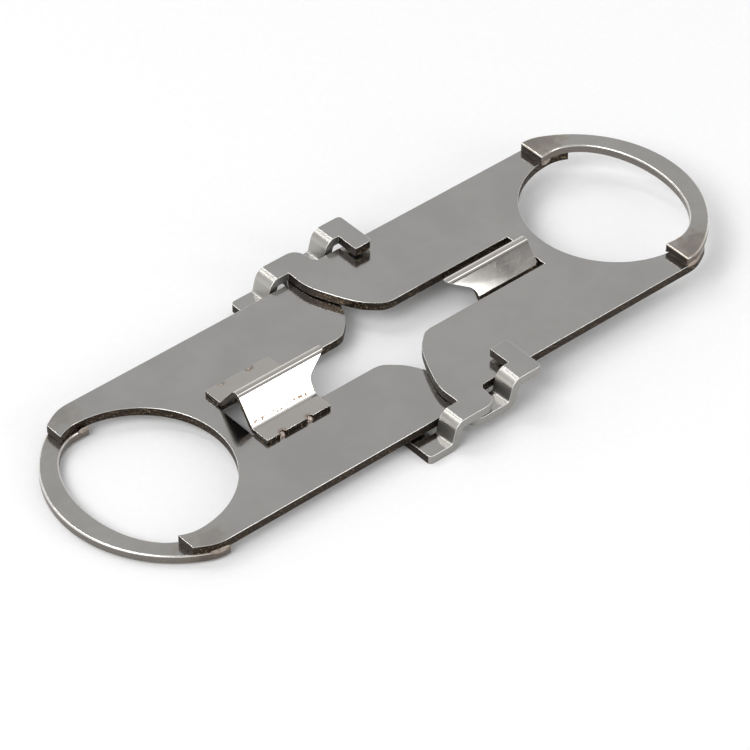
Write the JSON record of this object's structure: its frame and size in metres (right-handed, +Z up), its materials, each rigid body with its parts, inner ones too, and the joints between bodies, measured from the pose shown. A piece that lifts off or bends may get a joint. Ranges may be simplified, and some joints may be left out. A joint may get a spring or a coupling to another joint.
{
  "type": "sliding bottle opener",
  "caption": "Flat steel bottle opener whose overlapping halves slide along each other, with hooked ears, a finger ring at each end and folded lips that catch the cap.",
  "frame": {"origin": "middle of the opener at the height of the surface it lies on", "axes": "+X along the opener to the right half's ring, +Y across it, +Z up, so that the lips point up"},
  "size_m": [0.1258, 0.0488, 0.0091],
  "materials": {
    "plate_steel": "polished sheet with fine scratches",
    "bow_steel": "polished sheet, heat-tinted at the welds",
    "lip_steel": "bright polish"
  },
  "bodies": {
    "left_half": {"left_plate": "plate_steel", "left_ring_bow": "bow_steel", "left_cap_lip": "lip_steel"},
    "right_half": {"right_plate": "plate_steel", "right_ring_bow": "bow_steel", "right_cap_lip": "lip_steel"}
  },
  "joints": [
    {"name": "halves_slide", "type": "slide", "parent": "left_half", "child": "right_half", "axis": [1, 0, 0], "range_m": [-0.018, 0.0018]}
  ]
}
